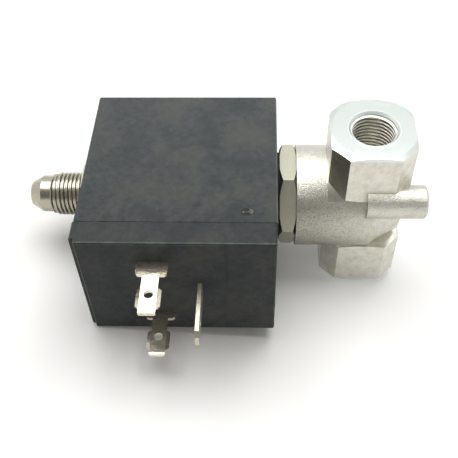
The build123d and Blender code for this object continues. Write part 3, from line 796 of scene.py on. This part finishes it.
def moulded_resin():
    """Black resin with a fine grain, uneven in colour and gloss, with a painted highlight at its edges."""
    material, tree, shader = start_material("glass_filled_resin", "#34373A", 0.0, 0.62)
    shader.inputs["Specular IOR Level"].default_value = RESIN_SHINE
    place = add(tree, "ShaderNodeTexCoord").outputs["Object"]
    xyz = add(tree, "ShaderNodeSeparateXYZ", {0: place}).outputs
    grain = add(
        tree,
        "ShaderNodeTexNoise",
        {"Vector": place, "Scale": per(RESIN_GRAIN), "Detail": 4.0, "Roughness": 0.6},
    ).outputs["Fac"]
    bump = add(tree, "ShaderNodeBump", {"Height": grain, "Strength": 1.0, "Distance": RESIN_GRAIN_DEPTH})
    tree.links.new(bump.outputs[0], shader.inputs["Normal"])
    cloud = add(
        tree,
        "ShaderNodeTexNoise",
        {"Vector": place, "Scale": per(CLOUD_WIDTH), "Detail": 5.0, "Roughness": 0.65},
    ).outputs["Fac"]
    rough = add(tree, "ShaderNodeMapRange", {"Value": cloud, "To Min": 0.42, "To Max": 0.86})
    tree.links.new(rough.outputs[0], shader.inputs["Roughness"])
    patchy = add(tree, "ShaderNodeMapRange", {"Value": cloud, "To Min": 0.3, "To Max": 1.5}).outputs[0]
    edge_highlight = painted_edge_highlight(tree, xyz)
    edge_highlight = add(tree, "ShaderNodeMath", {0: edge_highlight, 1: patchy}, operation="MULTIPLY").outputs[0]
    # Pale painted highlight along the coil's edges and the cap's chamfer.
    colour = add(
        tree,
        "ShaderNodeMix",
        {"Factor": edge_highlight, "A": resin_colour(tree, place, xyz, cloud), "B": linear("#9AA39C")},
        data_type="RGBA",
    ).outputs["Result"]
    tree.links.new(colour, shader.inputs["Base Color"])
    return material


resin = moulded_resin()
print(resin.name, "has", len(resin.node_tree.nodes), "nodes")

# %% [markdown]
# ## Tin-plated blades
#
# The blades are stamped from thin rolled brass and plated with bright tin. Stamping
# rounds their edges: the tip is drawn down so that it enters its socket, and the wings
# bend down at their sides. The solids are flat there, and could be replaced by bent
# meshes. A bump that falls away towards the tip and the sides shades the tin in the same
# way and leaves the solids as they are. The earth blade is plain and rougher, and its tin
# is painted darker, as painted shade.

# %% Tin plate, one material for each blade
TONGUE_HALF = 1.65 * MM
FORMED_LENGTH = 7 * MM
TIP_LENGTH = 0.75 * MM
TIP_SLOPE = 0.3
WING_SLOPE = 0.6
DENT_WIDTH = 1.3  # mm
DENT_DEPTH = 0.1 * MM
TARNISH_WIDTH = 0.8  # mm
BRIGHT_TIN = {
    "smoothest": 0.14,
    "roughest": 0.34,
    "formed": 1.0,
    "bright": "#F9F3E3",
    "tarnished": "#DDD3BD",
}
# Painted shade: the earth blade's tin is darker than the power blades' tin; it is also rougher.
ROUGH_SHADED_TIN = {
    "smoothest": 0.3,
    "roughest": 0.5,
    "formed": 0.0,
    "bright": "#D8D2C3",
    "tarnished": "#BBB29F",
}


def tin_plate(node, smoothest, roughest, formed, bright, tarnished):
    """Tin plate for one blade. `formed` is 1 where the tip and wings are drawn down, or 0."""
    material, tree, shader = start_material("tin_plate_on_" + node, "#EFE9DA", 1.0, 0.22)
    low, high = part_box(node)
    place = add(tree, "ShaderNodeTexCoord").outputs["Object"]
    xyz = add(tree, "ShaderNodeSeparateXYZ", {0: place}).outputs
    tip = add(
        tree,
        "ShaderNodeMapRange",
        {
            "Value": xyz["Y"],
            "From Min": low.y,
            "From Max": low.y + TIP_LENGTH,
            "To Min": -TIP_LENGTH * TIP_SLOPE,
            "To Max": 0.0,
        },
    ).outputs[0]
    side = offset_from(tree, xyz["X"], (low.x + high.x) / 2)
    side = add(tree, "ShaderNodeMath", {0: side, 1: TONGUE_HALF}, operation="SUBTRACT").outputs[0]
    side = add(tree, "ShaderNodeMath", {0: side, 1: 0.0}, operation="MAXIMUM").outputs[0]
    wings = add(
        tree,
        "ShaderNodeMath",
        {0: xyz["Y"], 1: low.y + FORMED_LENGTH},
        operation="LESS_THAN",
    ).outputs[0]
    side = add(tree, "ShaderNodeMath", {0: side, 1: wings}, operation="MULTIPLY").outputs[0]
    form = add(
        tree,
        "ShaderNodeMath",
        {0: side, 1: -WING_SLOPE, 2: tip},
        operation="MULTIPLY_ADD",
    ).outputs[0]
    shape = add(tree, "ShaderNodeBump", {"Height": form, "Strength": formed, "Distance": 1.0})
    dents = add(
        tree,
        "ShaderNodeTexNoise",
        {"Vector": place, "Scale": per(DENT_WIDTH), "Detail": 3.0},
    ).outputs["Fac"]
    bump = add(
        tree,
        "ShaderNodeBump",
        {"Height": dents, "Strength": 0.5, "Distance": DENT_DEPTH, "Normal": shape.outputs[0]},
    )
    tree.links.new(bump.outputs[0], shader.inputs["Normal"])
    tarnish = add(
        tree,
        "ShaderNodeTexNoise",
        {"Vector": place, "Scale": per(TARNISH_WIDTH), "Detail": 4.0, "Roughness": 0.7},
    ).outputs["Fac"]
    colour = add(
        tree,
        "ShaderNodeMix",
        {"Factor": tarnish, "A": linear(bright), "B": linear(tarnished)},
        data_type="RGBA",
    ).outputs["Result"]
    tree.links.new(colour, shader.inputs["Base Color"])
    rough = add(tree, "ShaderNodeMapRange", {"Value": tarnish, "To Min": smoothest, "To Max": roughest})
    tree.links.new(rough.outputs[0], shader.inputs["Roughness"])
    return material


# %% [markdown]
# ## Metals shaped on machines
#
# A lathe leaves marks that run round the tube's axis, rolling leaves marks along the
# sheet, and a die leaves marks along a wire. A Wave texture would draw them too evenly.
# All three are one noise instead, stretched differently: its grain is fine across the
# marks and long along them. A second, wide noise dulls the metal unevenly, as fingers
# and storage do.

# %% Marked metal
MARK_LENGTH = 4.0  # mm
FILM_WIDTH = 1.8  # mm
SMOOTHER, ROUGHER = 0.7, 1.4


def marked_metal(name, clean, dulled, roughness, across, axis, depth):
    """Metal with marks, `depth` mm deep, that are `across` mm wide along one axis and long along others."""
    material, tree, shader = start_material(name, clean, 1.0, roughness)
    place = add(tree, "ShaderNodeTexCoord").outputs["Object"]
    sizes = [per(across) if side == axis else per(MARK_LENGTH) for side in "XYZ"]
    stretched = add(tree, "ShaderNodeMapping", {"Vector": place, "Scale": sizes})
    marks = add(
        tree,
        "ShaderNodeTexNoise",
        {"Vector": stretched.outputs[0], "Scale": 1.0, "Detail": 2.0},
    ).outputs["Fac"]
    bump = add(tree, "ShaderNodeBump", {"Height": marks, "Strength": 0.6, "Distance": depth * MM})
    tree.links.new(bump.outputs[0], shader.inputs["Normal"])
    film = add(
        tree,
        "ShaderNodeTexNoise",
        {"Vector": place, "Scale": per(FILM_WIDTH), "Detail": 5.0, "Roughness": 0.65},
    ).outputs["Fac"]
    colour = add(
        tree,
        "ShaderNodeMix",
        {"Factor": film, "A": linear(clean), "B": linear(dulled)},
        data_type="RGBA",
    ).outputs["Result"]
    tree.links.new(colour, shader.inputs["Base Color"])
    rough = add(
        tree,
        "ShaderNodeMapRange",
        {"Value": film, "To Min": roughness * SMOOTHER, "To Max": roughness * ROUGHER},
    )
    tree.links.new(rough.outputs[0], shader.inputs["Roughness"])
    return material


# %% [markdown]
# ## Rubber, nylon and enamel
#
# The seals are nitrile rubber, which is matt, slightly brown-black and has a soft bloom.
# The bobbin is moulded in glass-filled nylon. Both are plain black stuff with a grain, so
# one function makes them, with its own colours and sizes. The wire's enamel is a clear
# amber lacquer over copper. Glass over a second surface would be heavy for that, so the
# material is copper with the shader's own coat.

# %% Moulded black stuff: rubber and nylon
MOULD_GRAIN_DEPTH = 0.04 * MM


def moulded_black(name, deep, bloom, roughness, grain):
    """Black stuff with a grain, `grain` mm wide, that is paler where it stands up."""
    material, tree, shader = start_material(name, deep, 0.0, roughness)
    place = add(tree, "ShaderNodeTexCoord").outputs["Object"]
    texture = add(
        tree,
        "ShaderNodeTexNoise",
        {"Vector": place, "Scale": per(grain), "Detail": 4.0},
    ).outputs["Fac"]
    bump = add(tree, "ShaderNodeBump", {"Height": texture, "Strength": 0.5, "Distance": MOULD_GRAIN_DEPTH})
    tree.links.new(bump.outputs[0], shader.inputs["Normal"])
    colour = add(
        tree,
        "ShaderNodeMix",
        {"Factor": texture, "A": linear(deep), "B": linear(bloom)},
        data_type="RGBA",
    ).outputs["Result"]
    tree.links.new(colour, shader.inputs["Base Color"])
    return material


# %% Enamelled wire
def enamelled_wire():
    """Copper under a clear coat."""
    material = marked_metal("enamelled_copper", "#B5622F", "#8E4420", 0.3, 0.5, "Y", 0.004)
    shader = material.node_tree.nodes["Principled BSDF"]
    shader.inputs["Coat Weight"].default_value = 0.8
    shader.inputs["Coat Roughness"].default_value = 0.15
    return material


# %% [markdown]
# ## Dressing the solids
#
# Each solid already has a slot with a plain material. Putting a better one in that slot
# keeps the solid's mesh as it is. Parts that are made alike share one material.

# %% Dress the solids
# Each metal: clean and dulled colour, roughness, width of a mark in mm, fine axis, depth in mm.
steel = marked_metal("turned_stainless_steel", "#C2BEAF", "#9B9788", 0.24, 0.12, "X", 0.015)
zinc = marked_metal("zinc_plated_steel", "#D0CFBE", "#B2B19D", 0.3, 0.35, "X", 0.012)
tube_steel = marked_metal("drawn_stainless_tube", "#C9C8C2", "#AEADA6", 0.26, 0.2, "Y", 0.006)
sheet_steel = marked_metal("rolled_mild_steel", "#8C8C8F", "#5F6064", 0.42, 0.18, "Z", 0.012)
spring_wire = marked_metal("drawn_spring_steel", "#A3A3A5", "#77787B", 0.3, 0.15, "Y", 0.008)
bare_copper = marked_metal("turned_copper", "#C98A63", "#9A5B3C", 0.3, 0.12, "X", 0.01)
wire = enamelled_wire()
rubber = moulded_black("nitrile_rubber", "#161514", "#2B2927", 0.72, 0.4)
nylon = moulded_black("glass_filled_nylon", "#151617", "#27292B", 0.5, 0.6)
finishes = {
    "valve_body": nickel,
    "orifice_seat": steel,
    "tube_flange": zinc,
    "guide_tube": tube_steel,
    "body_o_ring": rubber,
    "coil_gasket": rubber,
    "fixed_core": steel,
    "shading_ring": bare_copper,
    "retaining_nut": zinc,
    "spring_washer": spring_wire,
    "coil_moulding": resin,
    "coil_bobbin": nylon,
    "coil_winding": wire,
    "yoke_frame": sheet_steel,
    "flux_bush_outer": sheet_steel,
    "flux_bush_inner": sheet_steel,
    "power_tab_upper": tin_plate("power_tab_upper", **BRIGHT_TIN),
    "power_tab_lower": tin_plate("power_tab_lower", **BRIGHT_TIN),
    "earth_tab": tin_plate("earth_tab", **ROUGH_SHADED_TIN),
    "plunger": steel,
    "plunger_seal": rubber,
    "exhaust_seal": rubber,
    "plunger_spring": spring_wire,
}
for name, material in finishes.items():
    solids[name].material_slots[0].material = material
print("materials:", len(set(finishes.values())), "on", len(finishes), "solids of", len(solids))

# %% [markdown]
# ## The tapped ports
#
# Each port is tapped with a fine pipe thread, 28 turns to the inch. The thread could be
# cut from the body with a Boolean, but the bores already have its major diameter. So the
# ridge between its grooves is a piece of its own, which grows inwards from the wall.

# %% Grow the port threads
PITCH = 0.907 * MM
THREAD_DEPTH = 0.54 * MM
THREAD = {
    "Pitch": PITCH,
    "Depth": THREAD_DEPTH,
    "Base Width": 0.84 * MM,
    "Crest Width": 0.34 * MM,
    "Rounding": 0.11 * MM,
    "Overlap": 0.04 * MM,
    "Fade Turns": 0.6,
    "Steps": 72,
}
for name in ("upper_port", "lower_port"):
    mount = mounts[name]
    length = mount["dims"]["length_mm"] * MM
    low = mount["pos_m"][2] - (length if mount["axis"][2] > 0 else 0.0)
    thread = grow(
        name + "_thread",
        ridge,
        {
            **THREAD,
            "Radius": mount["dims"]["r_mm"] * MM,
            "Length": length,
            "Side": -1.0,
            "Place": (0.0, 0.0, low),
            "Material": nickel,
        },
    )
    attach(thread, "valve")

# %% [markdown]
# ## The outlet's thread
#
# The outlet is turned from the same bar as the fixed core, and its solid has the
# thread's major diameter. A bump could draw the grooves, but they show in the outline.
# The thread needs room to grow outwards, so a copy of the core is drawn in to the
# thread's root, and the ridge climbs on that. The copy's corners are merged first,
# because a solid comes as loose triangles.

# %% A merged copy of a solid, drawn in along part of its length
MERGE = 0.001 * MM
SHARP = math.radians(18)


def merged_copy(name, node, low=0.0, high=0.0, radius=None):
    """Copy of a solid in one skin. From low to high along the tube it is no wider than a radius."""
    mesh = solids[node].data.copy()
    mesh.name = name
    mesh.materials.clear()
    form = bmesh.new()
    form.from_mesh(mesh)
    bmesh.ops.remove_doubles(form, verts=form.verts, dist=MERGE)
    if radius is not None:
        for vertex in form.verts:
            reach = Vector((0, vertex.co.y, vertex.co.z - axis_z))
            if low <= vertex.co.x <= high and reach.length > radius:
                vertex.co += reach.normalized() * (radius - reach.length)
        bmesh.ops.remove_doubles(form, verts=form.verts, dist=MERGE)
    form.to_mesh(mesh)
    form.free()
    if "custom_normal" in mesh.attributes:
        mesh.attributes.remove(mesh.attributes["custom_normal"])
    mesh.shade_smooth()
    mesh.set_sharp_from_angle(angle=SHARP)
    print(name, "starts as", len(mesh.vertices), "corners")
    return mesh


# %% Grow the outlet's thread
mount = mounts["exhaust_thread"]
length = mount["dims"]["length_mm"] * MM
crest = mount["dims"]["r_mm"] * MM
root = crest - THREAD_DEPTH
from_x = mount["pos_m"][0] - length / 2
stem = grow(
    "exhaust_stem",
    ridge,
    {
        **THREAD,
        "Radius": root,
        "Length": length + PITCH,
        "Side": 1.0,
        "Fade Turns": 1.0,
        "Place": (from_x, 0.0, axis_z),
        "Turn": (0.0, math.pi / 2, 0.0),
        "Material": steel,
    },
    merged_copy("exhaust_stem", "fixed_core", from_x - MERGE, from_x + length + MERGE, root),
)
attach(stem, "valve")
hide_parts("fixed_core")

# %% [markdown]
# ## The gate mark
#
# Where the resin entered the mould, on top of the coil near its front right corner, a
# small scar is left: a pale, broken oval with two pits. Sculpting could make it, but a
# formula gives the same scar each time: a disc of rings is raised by a little noise, and
# sunk at the pits almost to the coil's face. Dust and shade make the pits dark, so the
# material asks how high a point lies.

# %% The scar's height
GATE_PLACE = Vector((-25.85 * MM, -18.4 * MM, coil_high.z))
GATE_SIZE = (1.35 * MM, 0.95 * MM)
GATE_RISE = 0.15 * MM
GATE_FLOOR = 0.06  # of the rise, in the pits
GATE_MIDDLE = 0.7  # of the rise, before the noise
GATE_RAGGED = 0.6
RAG_SCALE = 4
RIM_SLOPE = 5
PITS = ((-0.3, 0.5, 0.7), (-0.15, -0.55, 0.65))
PIT_SQUEEZE = 1.3
PIT_SLOPE = 4
PIT_DEPTH = 3


def gate_height(across, deep):
    """Height of the scar, where 1 is its rim, with its pits and a ragged rise between them."""
    height = GATE_MIDDLE + GATE_RAGGED * noise.noise(Vector((across * RAG_SCALE, deep * RAG_SCALE, 0)))
    for pit_across, pit_deep, size in PITS:
        gap = math.hypot(across - pit_across, (deep - pit_deep) * PIT_SQUEEZE) / size
        height = min(height, PIT_SLOPE * gap - PIT_DEPTH)
    rim = math.hypot(across, deep)
    return max(height, GATE_FLOOR) * min(1.0, (1.0 - rim) * RIM_SLOPE) * GATE_RISE


print("middle of the scar:", round(gate_height(0, 0) / MM, 3), "mm high")


# %% The scar's material
RAG_WIDTH = 0.5  # mm
DARK_BELOW = 2 * GATE_FLOOR  # of the rise
PALE_ABOVE = 0.6  # of the rise


def torn_resin():
    """Resin where it broke off: pale on its ragged tops, dark in its pits."""
    material, tree, shader = start_material("torn_resin", "#6A6A5E", 0.0, 0.75)
    place = add(tree, "ShaderNodeTexCoord").outputs["Object"]
    height = add(tree, "ShaderNodeSeparateXYZ", {0: place}).outputs["Z"]
    pale = add(
        tree,
        "ShaderNodeMapRange",
        {
            "Value": height,
            "From Min": coil_high.z + GATE_RISE * DARK_BELOW,
            "From Max": coil_high.z + GATE_RISE * PALE_ABOVE,
        },
    ).outputs[0]
    grain = add(
        tree,
        "ShaderNodeTexNoise",
        {"Vector": place, "Scale": per(RAG_WIDTH), "Detail": 4.0},
    ).outputs["Fac"]
    ragged = add(
        tree,
        "ShaderNodeMix",
        {"Factor": grain, "A": linear("#3A3B36"), "B": linear("#86857A")},
        data_type="RGBA",
    ).outputs["Result"]
    colour = add(
        tree,
        "ShaderNodeMix",
        {"Factor": pale, "A": linear("#0E0F0F"), "B": ragged},
        data_type="RGBA",
    ).outputs["Result"]
    tree.links.new(colour, shader.inputs["Base Color"])
    return material


# %% Break off the gate
GATE_RINGS = 10
GATE_STEPS = 40
RIM_RAGGED = 0.22
RIM_RAG_SCALE = 2
RIM_RAG_SEED = 5  # a slice of the noise with a good outline

form = bmesh.new()
rings = []
for ring in range(1, GATE_RINGS + 1):
    loop = []
    for step in range(GATE_STEPS):
        turn = math.tau * step / GATE_STEPS
        reach = ring / GATE_RINGS
        across, deep = reach * math.cos(turn), reach * math.sin(turn)
        on_rim = Vector((math.cos(turn) * RIM_RAG_SCALE, math.sin(turn) * RIM_RAG_SCALE, RIM_RAG_SEED))
        ragged = 1 + RIM_RAGGED * noise.noise(on_rim)
        spot = Vector((across * GATE_SIZE[0], deep * GATE_SIZE[1], 0)) * ragged
        spot.z = gate_height(across, deep)
        loop.append(form.verts.new(GATE_PLACE + spot))
    rings.append(loop)
top = form.verts.new(GATE_PLACE + Vector((0, 0, gate_height(0, 0))))
below = form.verts.new(GATE_PLACE - Vector((0, 0, GATE_RISE)))
for step in range(GATE_STEPS):
    after = (step + 1) % GATE_STEPS
    form.faces.new((top, rings[0][step], rings[0][after]))
    form.faces.new((below, rings[-1][after], rings[-1][step]))
    for inner, outer in zip(rings, rings[1:]):
        form.faces.new((inner[step], outer[step], outer[after], inner[after]))
mesh = bpy.data.meshes.new("gate_mark")
form.to_mesh(mesh)
form.free()
mesh.shade_smooth()
mesh.materials.append(torn_resin())
gate = bpy.data.objects.new("gate_mark", mesh)
bpy.context.scene.collection.objects.link(gate)
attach(gate, "coil")
print("gate mark has", len(mesh.polygons), "faces")

# %% [markdown]
# ## The winding
#
# Under the resin, enamelled wire is wound on the bobbin in close turns, layer on layer.
# Only the outer layer could ever be seen, so the solid ring stands for the rest. Its copy
# is drawn in by one wire, and the same tree winds the outer layer on it, as a ridge with
# a nearly round profile.

# %% Wind the outer layer of wire
WIRE = 0.36 * MM  # thicker than the real wire, so that a turn has its own faces
WIRE_GAP = 0.98  # a turn is this share of the pitch, so that neighbours don't touch
WIRE_ROUNDING = 0.4
ring_low, ring_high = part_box("coil_winding")
layer = (ring_high.z - ring_low.z) / 2 - WIRE
winding = grow(
    "wound_wire",
    ridge,
    {
        "Radius": layer,
        "Pitch": WIRE,
        "Length": ring_high.x - ring_low.x - WIRE,
        "Depth": WIRE * WIRE_GAP,
        "Base Width": WIRE * WIRE_GAP,
        "Crest Width": WIRE * WIRE_GAP,
        "Rounding": WIRE * WIRE_ROUNDING,
        "Side": 1.0,
        "Overlap": 0.0,
        "Fade Turns": 0.2,
        "Steps": 48,
        "Place": (ring_low.x + WIRE / 2, 0.0, axis_z),
        "Turn": (0.0, math.pi / 2, 0.0),
        "Material": wire,
    },
    merged_copy("wound_wire", "coil_winding", ring_low.x - MERGE, ring_high.x + MERGE, layer),
)
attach(winding, "coil")
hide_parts("coil_winding")

# %% [markdown]
# ## The return spring
#
# The spring stands between the fixed core and the plunger, so it gets shorter when the
# plunger lifts. Its solid would move as a stiff piece and push its end into the core. A
# shape key or a new helix for each lift could shorten it, but the frame can squeeze a
# piece as a joint moves. Here a copy stays with the valve, in the solid's place.

# %% A copy of the spring, which stays with the valve
lift = next(joint for joint in frame["record"]["behaviour"]["joints"] if joint["name"] == "plunger_lift")
seat_x = lift["deforming_nodes"][0]["fixed_end_x_m"]
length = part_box("plunger_spring")[1].x - seat_x

mesh = merged_copy("return_spring", "plunger_spring")
mesh.materials.append(spring_wire)
spring = bpy.data.objects.new("return_spring", mesh)
bpy.context.scene.collection.objects.link(spring)
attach(spring, "valve")
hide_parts("plunger_spring")
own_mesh(spring)
